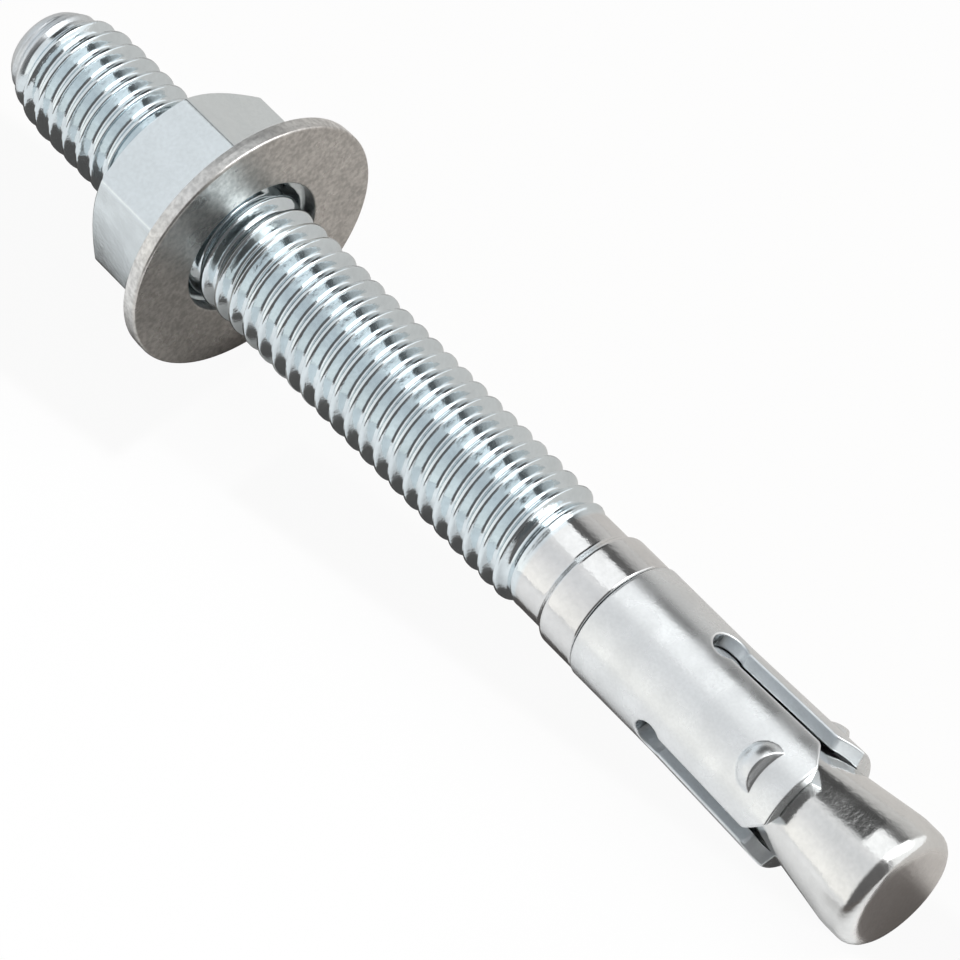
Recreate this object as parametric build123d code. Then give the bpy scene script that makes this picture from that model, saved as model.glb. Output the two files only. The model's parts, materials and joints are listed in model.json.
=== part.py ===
from build123d import *
from math import acos, asin, atan2, cos, degrees, hypot, pi, radians, sin, sqrt, tan
import os

# Wedge anchor: a threaded stud with a cone end, its expansion clip, a flat washer and a hex nut.
#
# Every piece is first built upright on the axis of the stud: Z = 0 is the flat end of the cone, Z
# grows toward the free threaded end, and +X is the side that faces up once the anchor lies down.
# resting_place() then turns the whole set over to the way it lies on a table, on the rim of the
# washer and the rounded edge of the cone, with the cone toward +X.
# All lengths are in mm and all angles in degrees.

# --- stud ---------------------------------------------------------------------------------------
stud_length = 91.8
thread_diameter = 9.34          # outside of the rolled thread
cone_end_diameter = 9.44
cone_end_rounding = 1.12        # edge of the flat end face
cone_land = 2.6                 # straight part, from the end face to the start of the taper
cone_blend = 4.0                # radius that softens the start of the taper
cone_half_angle = 8.65
mandrel_diameter = 7.05         # thin part that the clip turns on
mandrel_length = 17.3
collar_diameter = 9.25
collar_length = 2.8
collar_chamfer = 0.2
neck_diameter = 8.43            # bar left at its size before thread rolling
neck_length = 2.5
neck_ramp = 1.0                 # slope from the collar down to the neck
thread_ramp = 0.8               # slope from the neck up to the thread
nose_length = 5.7               # domed free end, from its tip to the full diameter
nose_flank = 9.0                # radius of the dome's side
nose_cap = 14.0                 # radius of the dome's top
nose_shoulder = 1.4             # rounding between the two

# --- expansion clip -----------------------------------------------------------------------------
clip_length = 19.0
clip_wall = 1.14
clip_clearance = 0.075          # radial, so that it turns on the mandrel
clip_collar_gap = 0.3
clip_top_chamfer = 0.2
leaf_count = 3
leaf_length = 11.05             # leaf tip to the centre of a keyhole's head
leaf_cone_gap = 0.06            # the leaf tips stand this far off the cone
slot_width = 1.8
slot_head_radius = 1.3
seam_width = 1.2                # open joint of the rolled strip
tip_chamfer_width = 1.6         # across the leaf
tip_chamfer_length = 1.5        # along the leaf
nib_width = 3.7
nib_height = 0.7                # above the leaf
nib_length = 1.9
nib_setback = 2.45              # leaf tip to the sheared edge of the nib
nib_shear_lean = 30.0
nib_wall = 0.78
nib_web = 0.5                   # metal left between the sheared face and the pocket behind it

# --- washer and nut -----------------------------------------------------------------------------
washer_diameter = 20.8
washer_thickness = 1.2
washer_play = 1.76              # hole over the thread, on the diameter
washer_edge_break = 0.2         # edge rolled over by the punch, outside
washer_hole_break = 0.15        # the same, round the hole
washer_hang_gap = 0.05          # between the hole and the thread it hangs on
nut_distance = 23.43            # tip of the free end to the bearing face of the nut
nut_across_flats = 14.1
nut_height = 8.2
nut_clearance = 0.08            # radial, over the thread
nut_chamfer_angle = 30.0
nut_top_chamfer = 0.82          # depth at the corners, free side
nut_base_chamfer = 0.27         # depth at the corners, bearing side
nut_mouth_chamfer = 0.45        # countersink of the hole

# --- how the pieces stand round the stud, from straight up --------------------------------------
leaf_turn = -25.0               # middle of the first leaf
nut_turn = -17.8                # middle of one flat
washer_turn = -1.76             # where the ring's outline starts and ends

# --- sizes that follow --------------------------------------------------------------------------
thread_radius = thread_diameter / 2
cone_radius = cone_end_diameter / 2
cone_slope = tan(radians(cone_half_angle))
mandrel_radius = mandrel_diameter / 2
collar_radius = collar_diameter / 2
neck_radius = neck_diameter / 2
mandrel_start = cone_land + (cone_radius - mandrel_radius) / cone_slope
collar_start = mandrel_start + mandrel_length
collar_end = collar_start + collar_length
neck_start = collar_end + neck_ramp
neck_end = neck_start + neck_length
thread_start = neck_end + thread_ramp
nose_start = stud_length - nose_length

clip_bore_radius = mandrel_radius + clip_clearance
clip_radius = clip_bore_radius + clip_wall
clip_top = collar_start - clip_collar_gap
clip_tip = clip_top - clip_length
leaf_root = clip_tip + leaf_length
tip_bore_radius = cone_radius - (clip_tip - cone_land) * cone_slope + leaf_cone_gap
leaf_spread = (tip_bore_radius - clip_bore_radius) / leaf_length
nib_edge = clip_tip + nib_setback
nib_foot_radius = clip_radius + (leaf_root - nib_edge) * leaf_spread
cutter_margin = 1.0             # cutters run this far past what they cut
cutter_radius = clip_radius + nib_height + tip_bore_radius

nut_base = stud_length - nut_distance
nut_top = nut_base + nut_height
nut_corner_radius = nut_across_flats / 2 / cos(pi / 6)
nut_bore_radius = thread_radius + nut_clearance
nut_chamfer_slope = tan(radians(nut_chamfer_angle))
washer_radius = washer_diameter / 2
washer_hole_radius = thread_radius + washer_play / 2
washer_face = nut_base - washer_thickness
washer_lift = washer_hole_radius - thread_radius - washer_hang_gap


def half_section(corners):
    """Face right of the axis; each corner is (radius, height, rounding)."""
    points = [(radius, height) for radius, height, rounding in corners]
    roundings = [rounding for radius, height, rounding in corners]
    return make_face(FilletPolyline(*points, radius=roundings, close=True))


def turned(section):
    """Solid of revolution on Z of a half section."""
    return revolve(Plane.XZ * section, Axis.Z)


def nose_section():
    """Half section of the domed free end: a curved side running into a flatter cap."""
    closing_turn = degrees(acos(1 - thread_radius / nose_flank))
    flank = JernArc((thread_radius, nose_start), (0, 1), nose_flank, closing_turn)
    base = Polyline(flank @ 1, (0, nose_start), (thread_radius, nose_start))
    cap = Pos(0, stud_length - nose_cap) * Circle(nose_cap)
    section = make_face(Curve() + [flank, base]) & cap
    shoulder = section.vertices().sort_by(Axis.Y)[-2]
    return fillet(shoulder, nose_shoulder)


def make_stud():
    """Cone end, mandrel, collar, neck and threaded length in one bar."""
    corners = [
        (0, 0, 0),
        (cone_radius, 0, cone_end_rounding),
        (cone_radius, cone_land, cone_blend),
        (mandrel_radius, mandrel_start, 0),
        (mandrel_radius, collar_start, 0),
        (collar_radius - collar_chamfer, collar_start, 0),
        (collar_radius, collar_start + collar_chamfer, 0),
        (collar_radius, collar_end, 0),
        (neck_radius, neck_start, 0),
        (neck_radius, neck_end, 0),
        (thread_radius, thread_start, 0),
        (thread_radius, nose_start, 0),
        (0, nose_start, 0),
    ]
    return turned(half_section(corners) + nose_section())


def clip_core():
    """Space inside the clip: a bore that widens toward the leaf tips."""
    below = clip_tip - cutter_margin
    corners = [
        (0, below, 0),
        (tip_bore_radius + cutter_margin * leaf_spread, below, 0),
        (clip_bore_radius, leaf_root, 0),
        (clip_bore_radius, clip_top + cutter_margin, 0),
        (0, clip_top + cutter_margin, 0),
    ]
    return turned(half_section(corners))


def clip_body():
    """Outside of the clip as a solid block."""
    corners = [
        (0, clip_tip, 0),
        (tip_bore_radius + clip_wall, clip_tip, 0),
        (clip_radius, leaf_root, 0),
        (clip_radius, clip_top - clip_top_chamfer, 0),
        (clip_radius - clip_top_chamfer, clip_top, 0),
        (0, clip_top, 0),
    ]
    return turned(half_section(corners))


def cut_outward(outline):
    """Radial cutter on the +X side, from an outline in the (Y, Z) plane."""
    return extrude(Plane.YZ * outline, cutter_radius)


def slot_outline():
    """Parallel slot between two leaves, opened out by the chamfers at the leaf tips."""
    half = slot_width / 2
    below = clip_tip - cutter_margin
    mouth = half + tip_chamfer_width
    points = [
        (mouth, below),
        (mouth, clip_tip),
        (half, clip_tip + tip_chamfer_length),
        (half, leaf_root),
        (-half, leaf_root),
        (-half, clip_tip + tip_chamfer_length),
        (-mouth, clip_tip),
        (-mouth, below),
    ]
    return make_face(Polyline(*points, close=True))


def keyhole_slot():
    """Slot that ends in a round head."""
    head = Pos(0, leaf_root) * Circle(slot_head_radius)
    return cut_outward(slot_outline() + head)


def seam_slot():
    """Slot that runs on through the whole clip as the open joint of the strip."""
    joint = Rectangle(seam_width, clip_length + cutter_margin, align=(Align.CENTER, Align.MIN))
    return cut_outward(slot_outline() + Pos(0, clip_tip) * joint)


def behind_shear(setback):
    """Block that keeps only what lies behind the leaning sheared face of a nib."""
    lean = radians(nib_shear_lean)
    corner = (nib_foot_radius, 0, nib_edge + setback / cos(lean))
    face = Plane(origin=corner, x_dir=(0, 1, 0), z_dir=(-sin(lean), 0, cos(lean)))
    return extrude(face * Rectangle(3 * clip_radius, 3 * clip_radius), clip_length / 2)


def nib_sphere():
    """Centre and radius of the ball whose cap stands out of a leaf as the nib."""
    crown = nib_foot_radius + nib_height
    across = nib_foot_radius * cos(nib_width / 2 / nib_foot_radius)
    centre_radius = (crown**2 - nib_foot_radius**2) / (crown - across) / 2
    radius = crown - centre_radius
    reach = sqrt(radius**2 - (nib_foot_radius - centre_radius) ** 2)
    centre_height = nib_edge + nib_length - reach
    return (centre_radius, 0, centre_height), radius


def nib():
    """Half dome sheared off on the side of the cone."""
    centre, radius = nib_sphere()
    return Pos(*centre) * Sphere(radius) & behind_shear(0)


def nib_pocket():
    """Hollow that the punch leaves behind a nib."""
    centre, radius = nib_sphere()
    return Pos(*centre) * Sphere(radius - nib_wall) & behind_shear(nib_web)


def make_clip():
    """Rolled strip with an open seam, keyhole slots and three leaves with a nib each."""
    clip = clip_body()
    leaf_pitch = 360 / leaf_count
    for leaf in range(leaf_count):
        clip += Rot(0, 0, leaf * leaf_pitch) * nib()
    clip -= clip_core()
    for leaf in range(leaf_count):
        clip -= Rot(0, 0, leaf * leaf_pitch) * nib_pocket()
    for slot in range(leaf_count - 1):
        clip -= Rot(0, 0, (slot - 0.5) * leaf_pitch) * keyhole_slot()
    clip -= Rot(0, 0, (leaf_count - 1.5) * leaf_pitch) * seam_slot()
    return Rot(0, 0, leaf_turn) * clip


def make_washer():
    """Punched ring, hanging on the thread by the upper edge of its hole."""
    corners = [
        (washer_hole_radius + washer_hole_break, washer_face, 0),
        (washer_radius - washer_edge_break, washer_face, 0),
        (washer_radius, washer_face + washer_edge_break, 0),
        (washer_radius, nut_base, 0),
        (washer_hole_radius, nut_base, 0),
        (washer_hole_radius, washer_face + washer_hole_break, 0),
    ]
    return Pos(washer_lift, 0, 0) * Rot(0, 0, washer_turn) * turned(half_section(corners))


def make_nut():
    """Hexagon with chamfered corners and a countersunk hole."""
    top_radius = nut_corner_radius - nut_top_chamfer / nut_chamfer_slope
    base_radius = nut_corner_radius - nut_base_chamfer / nut_chamfer_slope
    mouth_radius = nut_bore_radius + nut_mouth_chamfer
    corners = [
        (nut_bore_radius, nut_base + nut_mouth_chamfer, 0),
        (mouth_radius, nut_base, 0),
        (base_radius, nut_base, 0),
        (nut_corner_radius, nut_base + nut_base_chamfer, 0),
        (nut_corner_radius, nut_top - nut_top_chamfer, 0),
        (top_radius, nut_top, 0),
        (mouth_radius, nut_top, 0),
        (nut_bore_radius, nut_top - nut_mouth_chamfer, 0),
    ]
    hexagon = RegularPolygon(nut_across_flats / 2, 6, major_radius=False, rotation=30)
    prism = Pos(0, 0, nut_base) * extrude(hexagon, nut_height)
    return Rot(0, 0, nut_turn) * (prism & turned(half_section(corners)))


def rest_tilt():
    """Angle of the axis to the table when the rims of the washer and the cone both touch it."""
    along = washer_face + washer_edge_break - cone_end_rounding
    across = washer_radius - washer_lift - (cone_radius - cone_end_rounding)
    return degrees(atan2(across, along) - asin(cone_end_rounding / hypot(along, across)))


def resting_place(pieces):
    """Placement that lays the upright set on the table, centred over the origin."""
    lying = Rot(0, rest_tilt() - 90, 0)
    box = Compound(children=[lying * piece for piece in pieces]).bounding_box()
    return Pos(-box.center().X, -box.center().Y, -box.min.Z) * lying


def main():
    """Build the four pieces, lay them down and write one file each."""
    upright = {
        "anchor_stud": make_stud(),
        "expansion_clip": make_clip(),
        "flat_washer": make_washer(),
        "hex_nut": make_nut(),
    }
    place = resting_place(list(upright.values()))
    os.makedirs("parts", exist_ok=True)
    for node, piece in upright.items():
        export_step(place * piece, f"parts/{node}.step")


main()
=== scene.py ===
import json
import logging
import math
from dataclasses import dataclass
from enum import Enum
from functools import partial

import bmesh
import bpy
import numpy as np
from mathutils import Euler, Matrix, Vector
from mathutils.geometry import delaunay_2d_cdt


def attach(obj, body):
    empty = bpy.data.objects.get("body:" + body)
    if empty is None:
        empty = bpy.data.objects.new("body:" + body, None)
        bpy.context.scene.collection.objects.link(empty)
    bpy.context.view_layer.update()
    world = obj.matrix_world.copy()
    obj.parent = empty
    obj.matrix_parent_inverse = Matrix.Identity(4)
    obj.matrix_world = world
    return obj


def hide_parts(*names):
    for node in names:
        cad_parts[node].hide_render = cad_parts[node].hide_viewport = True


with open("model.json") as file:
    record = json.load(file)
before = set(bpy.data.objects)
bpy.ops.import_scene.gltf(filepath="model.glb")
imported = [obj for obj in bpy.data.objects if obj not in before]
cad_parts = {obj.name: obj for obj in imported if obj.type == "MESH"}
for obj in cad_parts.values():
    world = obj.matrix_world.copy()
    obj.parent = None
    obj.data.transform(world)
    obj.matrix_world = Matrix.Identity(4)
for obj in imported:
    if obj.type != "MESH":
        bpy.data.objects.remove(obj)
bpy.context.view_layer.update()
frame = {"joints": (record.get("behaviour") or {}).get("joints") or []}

LOG = logging.getLogger("wedge_anchor")
MM = 0.001

Socket = bpy.types.NodeSocket
Colour = tuple[float, float, float, float]
Profile = list[tuple[float, float]]
Corners = list[tuple[float, float, float]]
Faces = list[list[int]]

CORNER_ROOM = 0.45  # of the shorter side of a corner, which a rounding may take up
HOLD_ROOM = 0.05  # and of that, which the extra point beside it may


# ---- Helpers for node trees, colours and meshes ----


def linear_colour(code: str) -> Colour:
    """Turns an sRGB hex code into the linear colour that a socket takes.

    Args:
        code: six hex digits after a hash sign.

    Returns:
        Linear red, green, blue and an alpha of 1.
    """
    parts = [int(code[i : i + 2], 16) / 255 for i in (1, 3, 5)]
    linear = [c / 12.92 if c <= 0.04045 else ((c + 0.055) / 1.055) ** 2.4 for c in parts]
    return (linear[0], linear[1], linear[2], 1.0)


def add_node(
    tree: bpy.types.NodeTree, kind: str, inputs: dict | None = None, **settings: object
) -> bpy.types.Node:
    """Adds one node to a tree.

    Args:
        tree: the tree that gets the node.
        kind: the node's type name.
        inputs: socket name or number to a plain value or to the output socket to link from.
        **settings: properties of the node itself.

    Returns:
        The new node.
    """
    node = tree.nodes.new(kind)
    for name, value in settings.items():
        setattr(node, name, value)
    for key, value in (inputs or {}).items():
        if isinstance(value, Socket):
            tree.links.new(value, node.inputs[key])
        else:
            node.inputs[key].default_value = value
    return node


def calculate(tree: bpy.types.NodeTree, operation: str, *terms: Socket | float) -> Socket:
    """Result of one arithmetic step on sockets and numbers."""
    return add_node(tree, "ShaderNodeMath", dict(enumerate(terms)), operation=operation).outputs[0]


def map_range(
    tree: bpy.types.NodeTree,
    value: Socket,
    given: tuple[float, Socket | float] = (0.0, 1.0),
    made: tuple[Socket | float, float] = (0.0, 1.0),
    soft: bool = False,
) -> Socket:
    """Maps one range onto another and holds the result inside it.

    Args:
        tree: the tree that gets the node.
        value: what is mapped.
        given: ends of the range that comes in.
        made: what they become.
        soft: whether the result eases in and out.

    Returns:
        The mapped value.
    """
    span = dict(zip(("From Min", "From Max", "To Min", "To Max"), (*given, *made)))
    kind = "SMOOTHSTEP" if soft else "LINEAR"
    node = add_node(tree, "ShaderNodeMapRange", {"Value": value, **span}, interpolation_type=kind)
    return node.outputs[0]


def mixed(tree: bpy.types.NodeTree, factor: Socket, before: Socket | Colour, code: str) -> Socket:
    """Goes over from a colour, at factor 0, to that of a hex code, at 1."""
    sides = {"Factor": factor, "A": before, "B": linear_colour(code)}
    return add_node(tree, "ShaderNodeMix", sides, data_type="RGBA").outputs["Result"]


def product(tree: bpy.types.NodeTree, factors: list[Socket]) -> Socket:
    """Multiplies values, starting from 1.

    Args:
        tree: the tree that gets the nodes.
        factors: the values.

    Returns:
        Their product.
    """
    result: Socket | float = 1.0
    for factor in factors:
        result = calculate(tree, "MULTIPLY", result, factor)
    return result


def split_place(tree: bpy.types.NodeTree, kind: str) -> bpy.types.NodeOutputs:
    """X, Y and Z of one of the Texture Coordinate node's places."""
    place = add_node(tree, "ShaderNodeTexCoord").outputs[kind]
    return add_node(tree, "ShaderNodeSeparateXYZ", {0: place}).outputs


def new_object(name: str, data: bpy.types.ID) -> bpy.types.Object:
    """Links a mesh, a lamp or a camera into the scene.

    Args:
        name: the object's name.
        data: what it shows.

    Returns:
        The object, at the origin.
    """
    made = bpy.data.objects.new(name, data)
    bpy.context.scene.collection.objects.link(made)
    return made


def welded_mesh(name: str, points: np.ndarray, faces: Faces, gap: float) -> bpy.types.Mesh:
    """Makes a mesh, merges points that coincide and turns its faces outwards.

    Args:
        name: the mesh's name.
        points: N by 3 coordinates in mm.
        faces: corner numbers of each face.
        gap: points nearer than this, in mm, become one.

    Returns:
        The cleaned mesh in mm, smooth shaded.
    """
    mesh = bpy.data.meshes.new(name)
    mesh.from_pydata(points.tolist(), [], faces)
    work = bmesh.new()
    work.from_mesh(mesh)
    bmesh.ops.remove_doubles(work, verts=work.verts, dist=gap)
    bmesh.ops.dissolve_degenerate(work, edges=work.edges, dist=gap)
    bmesh.ops.recalc_face_normals(work, faces=work.faces)
    for face in work.faces:
        face.smooth = True
    work.to_mesh(mesh)
    work.free()
    return mesh


def eased(corners: Corners, steps: int = 6, hold: float = 0.06) -> Profile:
    """Rounds the corners of an open outline.

    Args:
        corners: radius, height and rounding of each corner, in mm.
        steps: short straight pieces that a rounding is made of.
        hold: how far beside a rounding an extra point stands, to shade the straight runs straight.

    Returns:
        The outline's radius and height pairs.
    """
    outline: Profile = []
    for i, (radius, height, rounding) in enumerate(corners):
        here = Vector((radius, height))
        if i in (0, len(corners) - 1) or rounding <= 0:
            outline.append((radius, height))
            continue
        back, ahead = Vector(corners[i - 1][:2]) - here, Vector(corners[i + 1][:2]) - here
        half = back.angle(ahead) / 2
        room = CORNER_ROOM * min(back.length, ahead.length)
        reach = min(rounding / math.tan(half), room)
        gap = min(hold, HOLD_ROOM * room)
        back, ahead = back.normalized(), ahead.normalized()
        ball = reach * math.tan(half)
        centre = here + (back + ahead).normalized() * ball / math.sin(half)
        start, end = here + back * reach, here + ahead * reach
        outline.append(tuple(start + back * gap))
        for k in range(steps + 1):
            spoke = (start - centre).lerp(end - centre, k / steps).normalized() * ball
            outline.append(tuple(centre + spoke))
        outline.append(tuple(end + ahead * gap))
    return outline


def around_axis(radius: np.ndarray, turn: np.ndarray, height: np.ndarray) -> np.ndarray:
    """Points from their distance from the Z axis, their angle round it and their height."""
    spot = np.broadcast_arrays(radius * np.cos(turn), radius * np.sin(turn), height)
    return np.stack(spot, axis=-1)


def turned_faces(profile: Profile, segments: int) -> tuple[np.ndarray, Faces]:
    """Sweeps an outline round the Z axis.

    Args:
        profile: radius and height pairs.
        segments: steps round the circle.

    Returns:
        Points, and the faces between them.
    """
    turn = np.arange(segments) * 2 * math.pi / segments
    radius, height = np.array(profile).T[..., None]
    points = around_axis(radius, turn, height).reshape(-1, 3)
    faces = []
    for row in range(len(profile) - 1):
        for n in range(segments):
            right = (n + 1) % segments
            low, high = row * segments, (row + 1) * segments
            faces.append([low + n, low + right, high + right, high + n])
    return points, faces


# ---- How the pieces stand ----


@dataclass(frozen=True)
class RestingPlace:
    """Where the upright pieces go: Z = 0 is the end face of the cone and Z points to the thread."""

    nut_base: float = 68.37  # mm, the height at which the nut's joint stands

    def matrix(self) -> Matrix:
        """Reads the placement from the joint between washer and nut.

        Returns:
            The matrix, from upright mm to metres in the frame.
        """
        joint = next(j for j in frame["joints"] if j["name"] == "nut_turn")
        along = -Vector(joint["axis"]).normalized()
        across = Vector((0, 1, 0))
        up = across.cross(along)
        turn = Matrix((up, across, along)).transposed().to_4x4()
        foot = Vector(joint["pos_m"]) - along * self.nut_base * MM
        return Matrix.Translation(foot) @ turn @ Matrix.Scale(MM, 4)


PLACE = RestingPlace().matrix()


def finish_piece(
    name: str,
    mesh: bpy.types.Mesh,
    body: str,
    node: str,
    finish: bpy.types.Material,
) -> bpy.types.Object:
    """Lays a piece down, dresses it and hands it to the frame.

    Args:
        name: the piece's name.
        mesh: its mesh, upright and in mm.
        body: the CAD body that carries it.
        node: the CAD node that it stands for.
        finish: its material.

    Returns:
        The piece.
    """
    mesh.transform(PLACE)
    mesh.materials.append(finish)
    piece = new_object(name, mesh)
    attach(piece, body)
    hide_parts(node)
    LOG.info("%s: %d faces on %s", name, len(mesh.polygons), body)
    return piece


# ---- Rolled thread ----


@dataclass(frozen=True)
class ThreadForm:
    """Section of the 3/8 inch 16 thread, in mm."""

    pitch: float = 1.5875
    outer_radius: float = 4.665
    groove_depth: float = 0.86
    crest_half_width: float = 0.115
    crest_fold_depth: float = 0.05  # rolled metal meets in a shallow fold along the crest
    flank_angle: float = 30.0
    crest_height: float = 37.389  # height of a crest on the upper side of the bar
    columns: int = 20  # samples across one pitch

    def drop(self, offset: float) -> float:
        """Depth below the crest at a distance along the bar from the crest's middle.

        Args:
            offset: distance from the crest's middle, up to half a pitch.

        Returns:
            The depth.
        """
        slope = 1 / math.tan(math.radians(self.flank_angle))
        half = self.pitch / 2
        sharp_root = (half - self.crest_half_width) * slope
        rounding = sharp_root - self.groove_depth
        if offset < self.pitch / self.columns / 2:
            return self.crest_fold_depth
        if offset < self.crest_half_width:
            return 0.0
        if offset > half - rounding * math.cos(math.radians(self.flank_angle)):
            centre = sharp_root - 2 * rounding
            return centre + math.sqrt(rounding**2 - (half - offset) ** 2)
        return (offset - self.crest_half_width) * slope

    def curve_points(self) -> Profile:
        """Draws the section as a Float Curve takes it.

        Returns:
            Shares of a pitch and shares of the groove's depth.
        """
        points = []
        for column in range(self.columns + 1):
            share = column / self.columns
            offset = min(share, 1 - share) * self.pitch
            points.append((share, 1 - self.drop(offset) / self.groove_depth))
        return points


@dataclass(frozen=True)
class ThreadSkin:
    """A stretch of threaded skin, outside a bar or inside a nut. All sizes are in mm."""

    form: ThreadForm
    start: float
    end: float
    radius_offset: float = 0.0  # a nut's thread stands this far off the bar's
    least_radius: float = 0.0
    mouth_radius: float = 0.0  # countersinks at both ends
    blank_radius: float = 0.0  # bar before rolling, where the thread runs out
    fade_start: float = 0.0
    fade_length: float = 0.001
    dome_start: float = 1000.0
    dome_flank: float = 1.0
    faintest: float = 0.45  # share of a ridge that stays over the dome, down to
    faint_end: float = 0.5  # this far from the end
    nudge: float = 1e-5  # of a pitch, so that a column on a crest doesn't count to the one before
    weld: float = 0.002
    segments: int = 72

    def sockets(self) -> dict[str, float | int]:
        """Lists the tree's inputs.

        Returns:
            Their names and values.
        """
        turns = math.ceil((self.end - self.start) / self.form.pitch) + 2
        return {
            "Pitch": self.form.pitch,
            "Start": self.start,
            "End": self.end,
            "Crest Height": self.form.crest_height,
            "Outer Radius": self.form.outer_radius + self.radius_offset,
            "Groove Depth": self.form.groove_depth,
            "Least Radius": self.least_radius,
            "Mouth Radius": self.mouth_radius,
            "Blank Radius": self.blank_radius,
            "Fade Start": self.fade_start,
            "Fade Length": self.fade_length,
            "Dome Start": self.dome_start,
            "Dome Flank": self.dome_flank,
            "Turns": turns,
            "Columns": self.form.columns,
            "Segments": self.segments,
        }

    def tree(self) -> bpy.types.NodeTree:
        """Builds the Geometry Nodes tree that winds a grid into a helical skin.

        Returns:
            The tree.
        """
        tree = bpy.data.node_groups.new("thread_skin", "GeometryNodeTree")
        tree.interface.new_socket("Geometry", in_out="OUTPUT", socket_type="NodeSocketGeometry")
        for name, value in self.sockets().items():
            kind = "NodeSocketInt" if isinstance(value, int) else "NodeSocketFloat"
            tree.interface.new_socket(name, in_out="INPUT", socket_type=kind)
        tree.interface.new_socket("Finish", in_out="INPUT", socket_type="NodeSocketMaterial")
        given = add_node(tree, "NodeGroupInput").outputs
        calc = partial(calculate, tree)
        length = calc("MULTIPLY", given["Pitch"], given["Turns"])
        across = calc("ADD", calc("MULTIPLY", given["Columns"], given["Turns"]), 1)
        around = calc("ADD", given["Segments"], 1)
        grid = add_node(
            tree,
            "GeometryNodeMeshGrid",
            {"Size X": length, "Size Y": 1.0, "Vertices X": across, "Vertices Y": around},
        ).outputs["Mesh"]
        position = add_node(tree, "GeometryNodeInputPosition").outputs[0]
        spot = add_node(tree, "ShaderNodeSeparateXYZ", {0: position}).outputs
        share = calc("ADD", spot["Y"], 0.5)
        column = calc("ADD", spot["X"], calc("DIVIDE", length, 2))
        # the first column lies on a crest, at least one pitch below the start
        rise = calc("SUBTRACT", given["Start"], given["Crest Height"])
        turns = calc("SUBTRACT", calc("FLOOR", calc("DIVIDE", rise, given["Pitch"])), 1)
        first = calc("MULTIPLY_ADD", turns, given["Pitch"], given["Crest Height"])
        winding = calc("MULTIPLY_ADD", share, given["Pitch"], calc("ADD", column, first))
        height = calc("MINIMUM", calc("MAXIMUM", winding, given["Start"]), given["End"])
        phase = calc("FRACT", calc("ADD", calc("DIVIDE", column, given["Pitch"]), self.nudge))
        curve = add_node(tree, "ShaderNodeFloatCurve", {"Value": phase})
        self.fill_curve(curve)
        groove = calc("MULTIPLY", calc("SUBTRACT", 1, curve.outputs[0]), given["Groove Depth"])
        rolled = calc("SUBTRACT", given["Outer Radius"], groove)
        fade_end = calc("ADD", given["Fade Start"], given["Fade Length"])
        fade = map_range(tree, height, (given["Fade Start"], fade_end), soft=True)
        growth = calc("SUBTRACT", rolled, given["Blank Radius"])
        risen = calc("MULTIPLY_ADD", fade, growth, given["Blank Radius"])
        into_dome = calc("MAXIMUM", calc("SUBTRACT", height, given["Dome Start"]), 0)
        squares = [calc("POWER", side, 2) for side in (given["Dome Flank"], into_dome)]
        dome_side = calc("SQRT", calc("SUBTRACT", *squares))
        dome = calc("ADD", given["Outer Radius"], calc("SUBTRACT", dome_side, given["Dome Flank"]))
        # over the dome the ridges get lower, and the last ones stay as faint marks
        root = calc("SUBTRACT", given["Outer Radius"], given["Groove Depth"])
        room = calc("DIVIDE", calc("SUBTRACT", dome, root), given["Groove Depth"])
        left = calc("MAXIMUM", room, self.faintest)
        to_end = calc("SUBTRACT", given["End"], height)
        last = calc("MINIMUM", calc("DIVIDE", to_end, self.faint_end), 1)
        depth = calc("SUBTRACT", given["Outer Radius"], risen)
        cut = calc("SUBTRACT", dome, calc("MULTIPLY", calc("MULTIPLY", left, last), depth))
        to_start = calc("SUBTRACT", height, given["Start"])
        mouths = [calc("SUBTRACT", given["Mouth Radius"], gap) for gap in (to_start, to_end)]
        mouth = calc("MAXIMUM", *mouths)
        radius = calc("MAXIMUM", calc("MAXIMUM", cut, given["Least Radius"]), mouth)
        turn = calc("MULTIPLY", share, 2 * math.pi)
        place = add_node(
            tree,
            "ShaderNodeCombineXYZ",
            {
                "X": calc("MULTIPLY", radius, calc("COSINE", turn)),
                "Y": calc("MULTIPLY", radius, calc("SINE", turn)),
                "Z": height,
            },
        ).outputs[0]
        skin = grid
        for kind, extra in (
            ("GeometryNodeSetPosition", {"Position": place}),
            ("GeometryNodeMergeByDistance", {"Distance": self.weld}),
            ("GeometryNodeRealizeInstances", {}),
            ("GeometryNodeSetMaterial", {"Material": given["Finish"]}),
        ):
            skin = add_node(tree, kind, {"Geometry": skin, **extra}).outputs[0]
        add_node(tree, "NodeGroupOutput", {"Geometry": skin})
        return tree

    def fill_curve(self, node: bpy.types.Node) -> None:
        """Writes the thread's section into a Float Curve node.

        Args:
            node: the curve's node.
        """
        points = node.mapping.curves[0].points
        wanted = self.form.curve_points()
        points[0].location, points[-1].location = wanted[0], wanted[-1]
        for place in wanted[1:-1]:
            points.new(*place)
        for point in points:
            point.handle_type = "VECTOR"
        node.mapping.update()

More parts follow.
